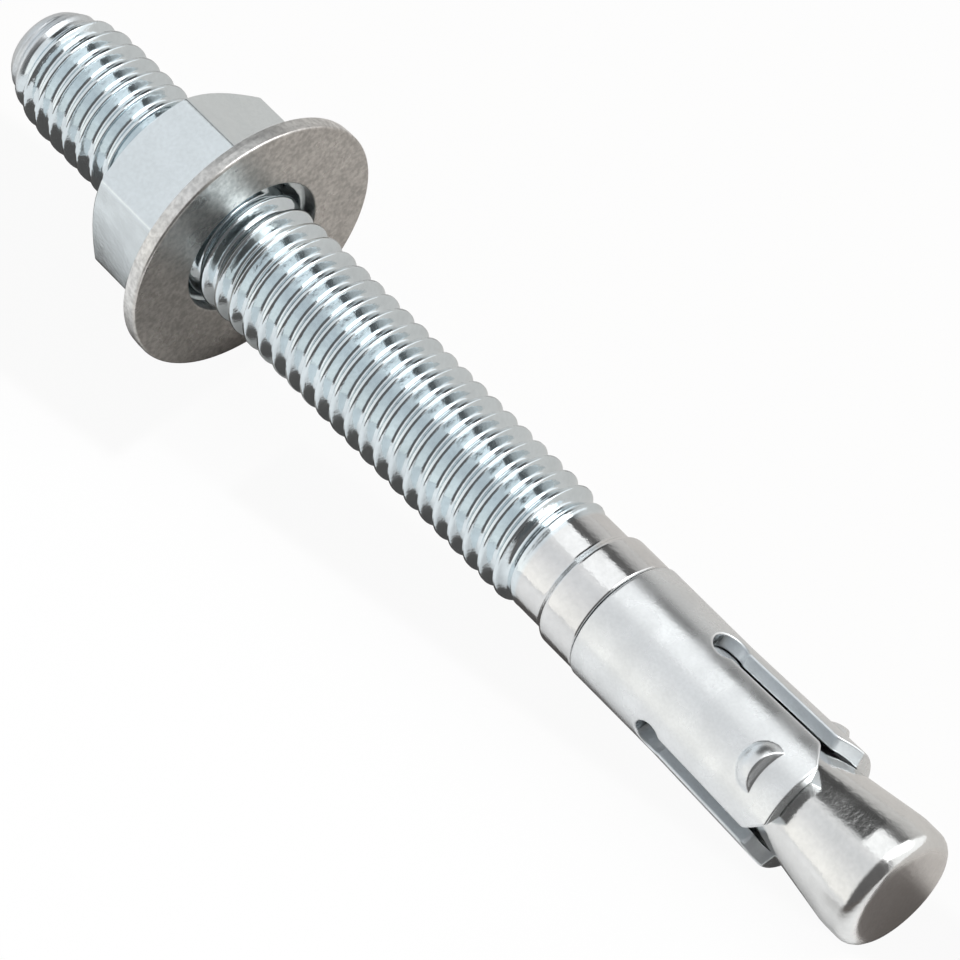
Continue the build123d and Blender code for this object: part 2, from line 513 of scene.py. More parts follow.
    def made(self, finish: bpy.types.Material) -> tuple[np.ndarray, Faces]:
        """Evaluates the tree.

        Args:
            finish: the material that the tree sets.

        Returns:
            Points in mm, and the faces between them.
        """
        tree = self.tree()
        holder = new_object("thread_holder", bpy.data.meshes.new("thread_holder"))
        modifier = holder.modifiers.new("thread", "NODES")
        modifier.node_group = tree
        values = self.sockets() | {"Finish": finish}
        for item in tree.interface.items_tree:
            if item.in_out == "INPUT":
                modifier[item.identifier] = values[item.name]
        depsgraph = bpy.context.evaluated_depsgraph_get()
        mesh = bpy.data.meshes.new_from_object(holder.evaluated_get(depsgraph))
        holder.modifiers.remove(modifier)
        bpy.data.objects.remove(holder)
        points = np.empty(len(mesh.vertices) * 3, np.float32)
        mesh.vertices.foreach_get("co", points)
        faces = [list(polygon.vertices) for polygon in mesh.polygons]
        return points.reshape(-1, 3).astype(float), faces


# ---- Finishes ----


NOISE_DETAIL = 3.0
CLOUD_RANGE = (0.38, 0.62)  # from where to where the noise goes from bright metal to a dull cloud
GRAIN_RANGE = (0.35, 0.65)  # and from a hollow of the grain to its top
STRETCH_SEAM_MM = 0.15  # half the height over which one stretch goes over into the next
CUT_MARK = "cut_edge"  # the point attribute that marks sheared edges


@dataclass(frozen=True)
class Stretch:
    """Part of the set's height over which the metal was worked alike."""

    top: float  # mm above the cone's end face, where the next stretch starts
    colour: str
    roughness: float


@dataclass(frozen=True)
class BrightZinc:
    """Bright zinc plating with a clear passivation, on steel.

    The bath makes it cloudy: the dull clouds are darker and rougher. The steel's own waves bend
    what it mirrors, and fine grain breaks it up.
    """

    name: str
    stretches: tuple[Stretch, ...]
    cloud_mm: float = 2.4
    cloud_shade: float = 0.06  # how much darker the clouds are
    cloud_roughness: float = 0.1
    wave_mm: float = 1.2
    wave_height_mm: float = 0.012
    grain_mm: float = 0.22
    grain_height_mm: float = 0.004
    grain_shade: float = 0.05  # how much darker its hollows are
    cut: Stretch | None = None  # edges that the press sheared

    def upright(self, tree: bpy.types.NodeTree) -> Socket:
        """Turns object coordinates upright.

        Args:
            tree: the tree that gets the nodes.

        Returns:
            Places in mm, where Z is the height above the cone's end face.
        """
        turn = PLACE.to_3x3().normalized().inverted()
        return add_node(
            tree,
            "ShaderNodeMapping",
            {
                "Vector": add_node(tree, "ShaderNodeTexCoord").outputs["Object"],
                "Location": tuple(-(turn @ PLACE.translation) / MM),
                "Rotation": tuple(turn.to_euler()),
                "Scale": (1 / MM, 1 / MM, 1 / MM),
            },
            vector_type="POINT",
        ).outputs[0]

    def noise(self, tree: bpy.types.NodeTree, spot: Socket, size_mm: float) -> Socket:
        """Noise with spots of about one size."""
        inputs = {"Vector": spot, "Scale": 1 / size_mm, "Detail": NOISE_DETAIL}
        return add_node(tree, "ShaderNodeTexNoise", inputs).outputs[0]

    def blended(
        self,
        tree: bpy.types.NodeTree,
        factor: Socket,
        before: tuple[Socket | Colour, Socket | float],
        stretch: Stretch,
    ) -> tuple[Socket, Socket]:
        """Goes over from a colour and roughness, at factor 0, to those of a stretch, at 1."""
        colour = mixed(tree, factor, before[0], stretch.colour)
        return colour, map_range(tree, factor, made=(before[1], stretch.roughness))

    def scaled(self, tree: bpy.types.NodeTree, colour: Socket | Colour, share: Socket) -> Socket:
        """Darkens a colour to a share of itself."""
        inputs = {0: colour if isinstance(colour, Socket) else colour[:3], "Scale": share}
        return add_node(tree, "ShaderNodeVectorMath", inputs, operation="SCALE").outputs[0]

    def bumped(
        self, tree: bpy.types.NodeTree, height: Socket, depth_mm: float, under: dict | None = None
    ) -> Socket:
        """Normal of the metal with a relief, from 0 to 1, on it and on what lies under it."""
        inputs = {"Height": height, "Strength": 1.0, "Distance": depth_mm * MM, **(under or {})}
        return add_node(tree, "ShaderNodeBump", inputs).outputs[0]

    def material(self) -> bpy.types.Material:
        """Builds the node material.

        Returns:
            The material.
        """
        material = bpy.data.materials.new(self.name)
        material.use_nodes = True
        tree = material.node_tree
        tree.nodes.clear()
        spot = self.upright(tree)
        height = add_node(tree, "ShaderNodeSeparateXYZ", {0: spot}).outputs["Z"]
        first = self.stretches[0]
        state = (linear_colour(first.colour), first.roughness)
        for below, stretch in zip(self.stretches, self.stretches[1:]):
            seam = (below.top - STRETCH_SEAM_MM, below.top + STRETCH_SEAM_MM)
            state = self.blended(tree, map_range(tree, height, seam), state, stretch)
        if self.cut:
            edge = add_node(tree, "ShaderNodeAttribute", attribute_name=CUT_MARK).outputs["Fac"]
            state = self.blended(tree, edge, state, self.cut)
        dull = map_range(tree, self.noise(tree, spot, self.cloud_mm), CLOUD_RANGE)
        shade = map_range(tree, dull, made=(1.0, 1 - self.cloud_shade))
        grain = self.noise(tree, spot, self.grain_mm)
        speck = map_range(tree, grain, GRAIN_RANGE, (1 - self.grain_shade, 1.0))
        rough = calculate(tree, "MULTIPLY_ADD", dull, self.cloud_roughness, state[1])
        waves = self.bumped(tree, self.noise(tree, spot, self.wave_mm), self.wave_height_mm)
        shader = add_node(
            tree,
            "ShaderNodeBsdfPrincipled",
            {
                "Base Color": self.scaled(tree, self.scaled(tree, state[0], shade), speck),
                "Metallic": 1.0,
                "Roughness": rough,
                "Normal": self.bumped(tree, grain, self.grain_height_mm, {"Normal": waves}),
            },
        )
        add_node(tree, "ShaderNodeOutputMaterial", {"Surface": shader.outputs[0]})
        return material


# The bar: a sawn and tumbled end face, a turned cone, a smooth drawn shank, a rolled thread that
# the thick passivation tints blue, and a dull pressed tip.
BAR_ZINC = BrightZinc(
    "bright_zinc_on_rolled_steel",
    (
        Stretch(0.05, "#E6E3E0", 0.36),
        Stretch(10.4, "#E5E6E5", 0.13),
        Stretch(33.7, "#E2E3E3", 0.1),
        Stretch(89.2, "#E1EAEE", 0.08),
        Stretch(99.0, "#DADFE2", 0.32),
    ),
    cloud_roughness=0.06,
    wave_mm=0.5,
    wave_height_mm=0.009,
    grain_mm=0.36,
    grain_height_mm=0.011,
)
# The clip: cold rolled strip with duller, lighter edges where the press sheared it.
CLIP_ZINC = BrightZinc(
    "bright_zinc_on_cold_rolled_strip",
    (Stretch(99.0, "#E7EAEB", 0.25),),
    cloud_roughness=0.07,
    wave_mm=1.5,
    cut=Stretch(0.0, "#E6ECF0", 0.5),
)
# The washer: barrel plated; its face toward the cone is a darker warm grey, painted shade of the
# dim floor that this face mirrors.
WASHER_ZINC = BrightZinc(
    "zinc_on_punched_strip_with_painted_shade_face",
    # painted shade: the face toward the cone is darker and warmer than the rim
    (Stretch(67.3, "#CDC9C4", 0.27), Stretch(99.0, "#E6E6E4", 0.3)),
    cloud_shade=0.1,
    grain_mm=0.34,
    grain_height_mm=0.013,
    grain_shade=0.3,
)
# The nut: satin flats from the die.
NUT_ZINC = BrightZinc(
    "satin_zinc_on_cold_formed_steel",
    (Stretch(99.0, "#E5EDF0", 0.17),),
    cloud_shade=0.03,
    wave_height_mm=0.006,
    grain_mm=0.3,
    grain_height_mm=0.006,
    grain_shade=0.06,
)


# ---- Stud ----


@dataclass(frozen=True)
class Stud:
    """Bar with cone end, mandrel, collar, neck, rolled thread and domed end. Sizes are in mm."""

    length: float = 91.797  # a hair inside the solid
    cone_radius: float = 4.72
    end_rounding: float = 1.12
    cone_land: float = 2.6
    cone_blend: float = 4.0
    mandrel_radius: float = 3.525
    mandrel_start: float = 10.455
    mandrel_blend: float = 1.0
    collar_start: float = 27.57  # the clip's edge all but touches the collar
    collar_radius: float = 4.625
    collar_end: float = 30.7
    collar_chamfer: float = 0.2
    neck_radius: float = 4.215
    neck_start: float = 31.25
    neck_end: float = 33.4
    neck_blend: float = 0.5
    dome_start: float = 86.1
    dome_flank: float = 9.0
    cap_radius: float = 14.0
    shoulder: float = 1.4
    thread_end: float = 90.5
    blank_length: float = 0.2  # of the bar before the thread rises out of it
    thread_rise: float = 2.2
    cap_steps: tuple[int, int, int] = (8, 12, 8)  # on the flank, the shoulder and the cap
    weld: float = 0.002
    form: ThreadForm = ThreadForm()

    def thread(self) -> ThreadSkin:
        """Describes the outside skin of the threaded length.

        Returns:
            The skin.
        """
        return ThreadSkin(
            form=self.form,
            start=self.neck_end,
            end=self.thread_end,
            blank_radius=self.neck_radius,
            fade_start=self.neck_end + self.blank_length,
            fade_length=self.thread_rise,
            dome_start=self.dome_start,
            dome_flank=self.dome_flank,
        )

    def shank_profile(self) -> Profile:
        """Draws the outline from the end face of the cone up to the thread.

        Returns:
            Radius and height pairs.
        """
        return eased(
            [
                (0.0, 0.0, 0.0),
                (self.cone_radius, 0.0, self.end_rounding),
                (self.cone_radius, self.cone_land, self.cone_blend),
                (self.mandrel_radius, self.mandrel_start, self.mandrel_blend),
                (self.mandrel_radius, self.collar_start, 0.0),
                (self.collar_radius, self.collar_start, self.collar_chamfer),
                (self.collar_radius, self.collar_end, self.neck_blend),
                (self.neck_radius, self.neck_start, self.neck_blend),
                (self.neck_radius, self.neck_end, 0.0),
            ]
        )

    def dome_side(self, height: float) -> float:
        """Radius of the dome's flank at a distance from the cone's end face."""
        rise = height - self.dome_start
        return self.form.outer_radius - self.dome_flank + math.sqrt(self.dome_flank**2 - rise**2)

    def cap_profile(self) -> Profile:
        """Draws the smooth end beyond the thread: flank, rounded shoulder and nearly flat cap.

        Returns:
            Radius and height pairs.
        """
        flank_centre = np.array([self.form.outer_radius - self.dome_flank, self.dome_start])
        cap_centre = np.array([0.0, self.length - self.cap_radius])
        # the shoulder's ball touches both circles from inside
        to_flank, to_cap = self.dome_flank - self.shoulder, self.cap_radius - self.shoulder
        apart = math.dist(flank_centre, cap_centre)
        along = (to_flank**2 - to_cap**2 + apart**2) / (2 * apart)
        aside = math.sqrt(to_flank**2 - along**2)
        way = (cap_centre - flank_centre) / apart
        outward = np.array([-way[1], way[0]])
        centre = flank_centre + way * along + outward * aside
        turns = [math.atan2(*(centre - other)[::-1]) for other in (flank_centre, cap_centre)]
        first = math.asin((self.thread_end - self.dome_start) / self.dome_flank)
        arcs = [
            (flank_centre, self.dome_flank, first, turns[0]),
            (centre, self.shoulder, turns[0], turns[1]),
            (cap_centre, self.cap_radius, turns[1], math.pi / 2),
        ]
        outline = [(self.dome_side(self.thread_end), self.thread_end)]
        for (middle, radius, start, end), steps in zip(arcs, self.cap_steps):
            for k in range(1, steps + 1):
                turn = start + (end - start) * k / steps
                spoke = np.array([math.cos(turn), math.sin(turn)])
                outline.append(tuple(middle + radius * spoke))
        outline[-1] = (0.0, self.length)
        return outline

    def build(self, finish: bpy.types.Material) -> bpy.types.Object:
        """Joins thread, shank and cap into one closed skin.

        Args:
            finish: the bar's material.

        Returns:
            The stud.
        """
        thread = self.thread()
        parts = [
            thread.made(finish),
            turned_faces(self.shank_profile(), thread.segments),
            turned_faces(self.cap_profile(), thread.segments),
        ]
        points = np.concatenate([part[0] for part in parts])
        faces = []
        shift = 0
        for part_points, part_faces in parts:
            faces += [[corner + shift for corner in face] for face in part_faces]
            shift += len(part_points)
        mesh = welded_mesh("anchor_stud_rolled", points, faces, self.weld)
        return finish_piece("threaded_bar", mesh, "stud", "anchor_stud", finish)


# ---- Expansion clip ----


KEEP_INSIDE = 1  # what the triangulation gives back


class Wall(Enum):
    """The two faces of the clip's sheet."""

    OUTER = 1
    INNER = -1


@dataclass(frozen=True)
class Nib:
    """Grip raised from a leaf: the cap of a ball, sheared off by a leaning cut. Sizes are in mm."""

    width: float = 3.7
    height: float = 0.7
    length: float = 1.9
    edge_height: float = 10.905  # the foot of the sheared face
    foot_radius: float = 4.965
    lean: float = 30.0  # degrees
    wall: float = 0.78
    web: float = 0.5
    search: tuple[float, float] = (-0.5, 1.0)  # where the crest lies, above the cut's foot
    halvings: int = 30
    uncut: float = -9.0  # a setback with which the cut misses the form

    def ball(self) -> tuple[float, float, float]:
        """Works out the ball.

        Returns:
            Its centre's distance from the axis and height, and its radius.
        """
        crown = self.foot_radius + self.height
        across = self.foot_radius * math.cos(self.width / 2 / self.foot_radius)
        centre = (crown**2 - self.foot_radius**2) / (crown - across) / 2
        radius = crown - centre
        reach = math.sqrt(radius**2 - (self.foot_radius - centre) ** 2)
        return centre, self.edge_height + self.length - reach, radius

    def surface(
        self, turn: np.ndarray, height: np.ndarray, thinner: float, setback: float
    ) -> np.ndarray:
        """Radius of the raised form, or 0 where it has none.

        Args:
            turn: angle from the middle of the leaf.
            height: distance from the cone's end face.
            thinner: how much smaller the ball is.
            setback: how far behind the sheared face the form starts.

        Returns:
            Radius from the clip's axis.
        """
        centre, centre_height, radius = self.ball()
        above, aside = height - centre_height, centre * np.sin(turn)
        square = (radius - thinner) ** 2 - above**2 - aside**2
        far = centre * np.cos(turn) + np.sqrt(np.maximum(square, 0))
        ball = np.where((square > 0) & (np.abs(turn) < 1), far, 0)
        return np.minimum(ball, self.cut(turn, height, setback))

    def cut(self, turn: np.ndarray, height: np.ndarray, setback: float = 0.0) -> np.ndarray:
        """Radius of the leaning cut.

        Args:
            turn: angle from the middle of the leaf.
            height: distance from the cone's end face.
            setback: how far behind the sheared face it lies.

        Returns:
            Radius from the clip's axis.
        """
        lean = math.radians(self.lean)
        rise = height - self.edge_height - setback / math.cos(lean)
        flat = self.foot_radius + rise / math.tan(lean)
        return np.maximum(flat, 0) / np.cos(np.clip(turn, -1, 1))

    def crest(self, turn: np.ndarray) -> np.ndarray:
        """Searches for where the cut meets the ball.

        Args:
            turn: angles from the middle of the leaf.

        Returns:
            The heights.
        """
        low, high = (np.full_like(turn, self.edge_height + end) for end in self.search)
        for _ in range(self.halvings):
            middle = (low + high) / 2
            inside = self.cut(turn, middle) <= self.surface(turn, middle, 0.0, self.uncut)
            low, high = np.where(inside, middle, low), np.where(inside, high, middle)
        return (low + high) / 2


@dataclass(frozen=True)
class ExpansionClip:
    """Stamped strip rolled round the mandrel, with a seam and three leaves. Sizes are in mm."""

    tip: float = 8.455
    top: float = 27.455
    root: float = 19.505  # where the leaves start
    radius: float = 4.74
    bore: float = 3.6
    spread: float = 0.026  # how much farther out a leaf stands per mm toward its tip
    slot_half: float = 0.9
    head_radius: float = 1.3
    seam_half: float = 0.6
    mouth_half: float = 2.5
    mouth_rise: float = 1.5
    edge: float = 0.12
    tip_rounding: float = 0.35
    mouth_rounding: float = 0.6
    seam_rounding: float = 0.14
    head_rounding: float = 0.3
    head_steps: int = 24
    corner_steps: int = 5
    corner_hold: float = 0.05
    leaves: int = 3
    turn: float = -25.0  # degrees
    parallel_until: float = 42.0  # degrees from a slot's middle: so far the bore follows its walls
    parallel_fade: float = 22.0  # and over which it stops doing so
    step: float = 0.36
    fine_step: float = 0.13
    outline_step: float = 0.3
    row_shift: float = 0.37  # of a step, between one scattered row and the next
    rings: tuple[float, float, float] = (0.3, 1.0, 2.0)  # inside the outline, in edge roundings
    clear_rings: float = 3.0  # how far the scattered points keep from it
    rim_drop: float = 0.05  # from the edge rounding to the first ring of the cut wall
    least_mitre: float = 0.6  # cosine past which a sharp corner's inset grows no longer
    crease_steps: int = 60
    crease_span: float = 0.985  # of the nib's width
    crease_out: float = 0.03  # off the cut, beside the nib's foot and its crest
    crease_in: float = 0.01  # and on the cut
    crease_clear: float = 0.35  # of a fine step, between a crease and the scattered points
    fine_below: float = 0.55  # reach of the close points round a nib
    fine_above: float = 0.35
    fine_beside: float = 0.3
    mesh_gap: float = 1e-5
    cut_from: float = 0.45  # sideways share of a normal where the cut's finish starts
    cut_over: float = 0.3
    weld: float = 0.0015
    nib: Nib = Nib()

    def flat(self, slot: float, across: float, height: float) -> tuple[float, float]:
        """Place in the unrolled strip of a point that lies across from a slot's middle plane."""
        here = self.radius + max(self.root - height, 0) * self.spread
        return slot + self.radius * math.asin(across / here), height

    def outline(self) -> np.ndarray:
        """Draws the edge of the unrolled strip.

        Returns:
            Places, anticlockwise and in short steps.
        """
        half = math.pi * self.radius
        corners: Corners = []

        def flank(slot: float, side: int) -> Corners:
            """Mouth and wall of one side of a slot, from the tip upwards.

            Args:
                slot: the slot's middle.
                side: 1 or -1.

            Returns:
                The corners.
            """
            mouth = self.flat(slot, side * self.mouth_half, self.tip)
            wall = self.flat(slot, side * self.slot_half, self.tip + self.mouth_rise)
            return [(*mouth, self.tip_rounding), (*wall, self.mouth_rounding)]

        def seam(slot: float, side: int) -> Corners:
            """One edge of the open seam, from the tip upwards.

            Args:
                slot: the seam's middle.
                side: 1 or -1.

            Returns:
                The corners.
            """
            return flank(slot, side) + [
                (*self.flat(slot, side * self.slot_half, self.root), self.seam_rounding),
                (*self.flat(slot, side * self.seam_half, self.root), self.seam_rounding),
                (*self.flat(slot, side * self.seam_half, self.top), self.tip_rounding),
            ]

        def head(slot: float) -> Corners:
            """Round end of a keyhole, from its left wall to its right wall.

            Args:
                slot: the slot's middle.

            Returns:
                The corners.
            """
            dip = math.acos(self.slot_half / self.head_radius)
            arc = []
            for k in range(self.head_steps + 1):
                angle = math.pi + dip - (math.pi + 2 * dip) * k / self.head_steps
                across = self.head_radius * math.cos(angle)
                height = self.root + self.head_radius * math.sin(angle)
                rounding = self.head_rounding if k in (0, self.head_steps) else 0.0
                arc.append((*self.flat(slot, across, height), rounding))
            del arc[1], arc[-2]  # room for the roundings
            return arc

        third = 2 * half / self.leaves
        corners += seam(-half, 1)[::-1]
        for slot in (-third / 2, third / 2):
            corners += flank(slot, -1) + head(slot) + flank(slot, 1)[::-1]
        corners += seam(half, -1)
        corners.append(corners[0])
        first = corners[0]
        middle = ((first[0] + corners[-2][0]) / 2, self.top, 0.0)
        closed = [middle, *corners[:-1], middle]
        points = np.array(eased(closed, self.corner_steps, self.corner_hold))
        fine = [points[0]]
        for point in points[1:]:
            pieces = max(round(float(np.linalg.norm(point - fine[-1])) / self.outline_step), 1)
            start = fine[-1]
            fine += [start + (point - start) * k / pieces for k in range(1, pieces + 1)]
        return np.array(fine[:-1])

    def inset(self, outline: np.ndarray, distance: float) -> np.ndarray:
        """Outline moved into the metal.

        Args:
            outline: anticlockwise points.
            distance: how far.

        Returns:
            As many points as the outline has.
        """
        ahead = np.roll(outline, -1, axis=0) - outline
        behind = outline - np.roll(outline, 1, axis=0)
        normals = []
        for side in (ahead, behind):
            unit = side / np.linalg.norm(side, axis=1, keepdims=True)
            normals.append(np.stack([-unit[:, 1], unit[:, 0]], axis=1))
        both = normals[0] + normals[1]
        both /= np.linalg.norm(both, axis=1, keepdims=True)
        stretch = np.maximum((both * normals[0]).sum(axis=1), self.least_mitre)
        return outline + both * (distance / stretch)[:, None]

    def creases(self) -> list[np.ndarray]:
        """Draws the lines that follow the foot and the crest of every nib.

        Returns:
            The lines' places in the unrolled strip.
        """
        nib = self.nib
        spread = np.linspace(-0.5, 0.5, self.crease_steps + 1)
        turn = spread * nib.width / nib.foot_radius * self.crease_span
        crest = nib.crest(turn)
        here = self.radius + (self.root - crest) * self.spread
        slope = math.tan(math.radians(nib.lean))
        foot = nib.edge_height - (nib.foot_radius - here * np.cos(turn)) * slope
        plain, cut = self.crease_out, self.crease_in
        lines = []
        for leaf in range(self.leaves):
            middle = (leaf - 1) * 2 * math.pi / self.leaves
            along = (turn + middle) * self.radius
            for line in (foot - plain, foot + cut, crest - cut, crest + plain):
                lines.append(np.stack([along, line], axis=1))
        return lines

    def scattered(self, outline: np.ndarray) -> np.ndarray:
        """Points inside the strip, close together round the nibs.

        Args:
            outline: the strip's edge.

        Returns:
            Places in the unrolled strip.
        """

        def rows(left: float, right: float, low: float, high: float, step: float) -> np.ndarray:
            """Places in even rows and columns between limits."""
            return np.mgrid[left:right:step, low:high:step].reshape(2, -1).T

        half = math.pi * self.radius
        coarse = rows(-half, half, self.tip, self.top, self.step)
        coarse[:, 0] += np.arange(len(coarse)) % 2 * self.step * self.row_shift
        places = []
        creases = np.concatenate(self.creases())
        low = self.nib.edge_height - self.fine_below
        high = self.nib.edge_height + self.nib.length + self.fine_above
        reach = self.nib.width / 2 + self.fine_beside
        outside = np.ones(len(coarse), bool)
        for leaf in range(self.leaves):
            middle = (leaf - 1) * 2 * half / self.leaves
            beside = np.abs(coarse[:, 0] - middle) < reach
            outside &= ~(beside & (coarse[:, 1] > low) & (coarse[:, 1] < high))
            places.append(rows(middle - reach, middle + reach, low, high, self.fine_step))
        places.append(coarse[outside])
        points = np.concatenate(places)
        clear = self.depth_inside(points, outline) > self.edge * self.clear_rings
        nearest = np.array([np.linalg.norm(creases - point, axis=1).min() for point in points])
        spaced = nearest > self.fine_step * self.crease_clear
        return points[clear & spaced]

    @staticmethod
    def depth_inside(points: np.ndarray, outline: np.ndarray) -> np.ndarray:
        """Measures how far points lie inside the outline.

        Args:
            points: places in the unrolled strip.
            outline: the strip's edge.

        Returns:
            One distance each, negative outside the outline.
        """
        nearest = np.full(len(points), np.inf)
        hit = np.zeros(len(points), bool)
        for start, end in zip(outline, np.roll(outline, -1, axis=0)):
            run, away = end - start, points - start
            share = np.clip(away @ run / (run @ run), 0, 1)
            nearest = np.minimum(nearest, np.linalg.norm(away - share[:, None] * run, axis=1))
            if run[1] != 0:
                crosses = (start[1] > points[:, 1]) != (end[1] > points[:, 1])
                hit ^= crosses & (points[:, 0] < start[0] + away[:, 1] * run[0] / run[1])
        return np.where(hit, nearest, -nearest)

    def rolled(self, flat: np.ndarray, depth: np.ndarray, wall: Wall) -> np.ndarray:
        """Rolls places of the strip round the mandrel.

        Args:
            flat: places in the unrolled strip.
            depth: how far each lies under that face of the sheet.
            wall: which face.

        Returns:
            Points in mm.
        """
        along, height = flat.T
        angle = along / self.radius
        below = np.maximum(self.root - height, 0) * self.spread
        third = 2 * math.pi / self.leaves
        from_leaf = (angle + third / 2) % third - third / 2
        if wall is Wall.OUTER:
            raised = self.nib.surface(from_leaf, height, 0.0, 0.0)
            radius = np.maximum(self.radius + below, raised)
        else:
            raised = self.nib.surface(from_leaf, height, self.nib.wall, self.nib.web)
            radius = np.maximum(self.bore + below, raised)
            from_slot = angle % third - third / 2
            ratio = (self.radius + below) / (self.bore + below)
            parallel = np.arcsin(np.clip(np.sin(from_slot) * ratio, -1, 1))
            until, over = math.radians(self.parallel_until), math.radians(self.parallel_fade)
            fade = np.clip((until - np.abs(from_slot)) / over, 0, 1)
            angle = angle + (parallel - from_slot) * fade**2 * (3 - 2 * fade)
        radius = radius - depth * wall.value
        angle = angle + math.radians(self.turn)
        return around_axis(radius, angle, height)

    def mark_cut_edges(self, mesh: bpy.types.Mesh) -> None:
        """Stores at every point how far it faces along the strip, as the slots' sheared walls do.

        Args:
            mesh: the clip, upright.
        """
        points, normals = np.empty((2, len(mesh.vertices), 3))
        mesh.vertices.foreach_get("co", points.ravel())
        mesh.vertex_normals.foreach_get("vector", normals.ravel())
        outward = points[:, :2] / np.linalg.norm(points[:, :2], axis=1, keepdims=True)
        sideways = np.abs(outward[:, 0] * normals[:, 1] - outward[:, 1] * normals[:, 0])
        mark = mesh.attributes.new(CUT_MARK, "FLOAT", "POINT")
        mark.data.foreach_set("value", np.clip((sideways - self.cut_from) / self.cut_over, 0, 1))

    def build(self, finish: bpy.types.Material) -> bpy.types.Object:
        """Meshes the strip, rolls both faces and closes the edges.

        Args:
            finish: the clip's material.

        Returns:
            The clip.
        """
        outline = self.outline()
        rings = [outline, *(self.inset(outline, self.edge * share) for share in self.rings)]
        lines = [(ring, True) for ring in rings] + [(crease, False) for crease in self.creases()]
        given, edges = [], []
        for line, closed in lines:
            first = len(given)
            given += [Vector(place) for place in line]
            edges += [(first + k, first + k + 1) for k in range(len(line) - 1)]
            if closed:
                edges.append((len(given) - 1, first))
        given += [Vector(place) for place in self.scattered(outline)]
        # the outline is given as a face, so that only the triangles inside it are kept
        border = [list(range(len(outline)))]
        made = delaunay_2d_cdt(given, edges, border, KEEP_INSIDE, self.mesh_gap)
        flat = np.array([tuple(place) for place in made[0]])
        sheet = [list(face) for face in made[2]]
        hidden = self.edge - np.minimum(np.abs(self.depth_inside(flat, outline)), self.edge)
        depth = self.edge - np.sqrt(np.maximum(self.edge**2 - hidden**2, 0))
        points = [self.rolled(flat, depth, Wall.OUTER), self.rolled(flat, depth, Wall.INNER)]
        faces = sheet + [[corner + len(flat) for corner in face[::-1]] for face in sheet]
        shift = 2 * len(flat)
        count = len(outline)
        lower = self.edge + self.rim_drop
        rim = (
            (Wall.OUTER, self.edge),
            (Wall.OUTER, lower),
            (Wall.INNER, lower),
            (Wall.INNER, self.edge),
        )
        for wall, down in rim:
            points.append(self.rolled(outline, np.full(count, down), wall))
        for row in range(len(rim) - 1):
            low = shift + row * count
            for k in range(count):
                after = (k + 1) % count
                faces.append([low + k, low + count + k, low + count + after, low + after])
        mesh = welded_mesh("expansion_clip_rolled", np.concatenate(points), faces, self.weld)
        self.mark_cut_edges(mesh)
        return finish_piece("rolled_clip", mesh, "clip", "expansion_clip", finish)


# ---- Washer and nut ----


@dataclass(frozen=True)
class Washer:
    """Punched ring, its edges drawn over on one side and torn on the other. Sizes are in mm."""

    radius: float = 10.4
    hole: float = 5.55
    face: float = 67.17
    back: float = 68.37
    drawn_edge: float = 0.2
    drawn_hole: float = 0.15
    torn_edge: float = 0.07
    torn_share: float = 0.4  # part of the thickness that broke instead of being cut
    torn_slope: float = 0.035
    tear_rounding: float = 0.05
    lift: float = 0.83  # it hangs on the bar by its hole
    weld: float = 0.002
    segments: int = 128

    def build(self, finish: bpy.types.Material) -> bpy.types.Object:
        """Turns the ring's section.

        Args:
            finish: the washer's material.

        Returns:
            The washer.
        """
        tear = self.back - (self.back - self.face) * self.torn_share
        middle = (self.radius + self.hole) / 2
        section = eased(
            [
                (middle, self.face, 0.0),
                (self.radius, self.face, self.drawn_edge),
                (self.radius, tear, self.tear_rounding),
                (self.radius - self.torn_slope, self.back, self.torn_edge),
                (self.hole + self.torn_slope, self.back, self.torn_edge),
                (self.hole, tear, self.tear_rounding),
                (self.hole, self.face, self.drawn_hole),
                (middle, self.face, 0.0),
            ]
        )
        points, faces = turned_faces(section, self.segments)
        points += np.array([self.lift, 0, 0])
        mesh = welded_mesh("flat_washer_punched", points, faces, self.weld)
        return finish_piece("punched_washer", mesh, "washer", "flat_washer", finish)


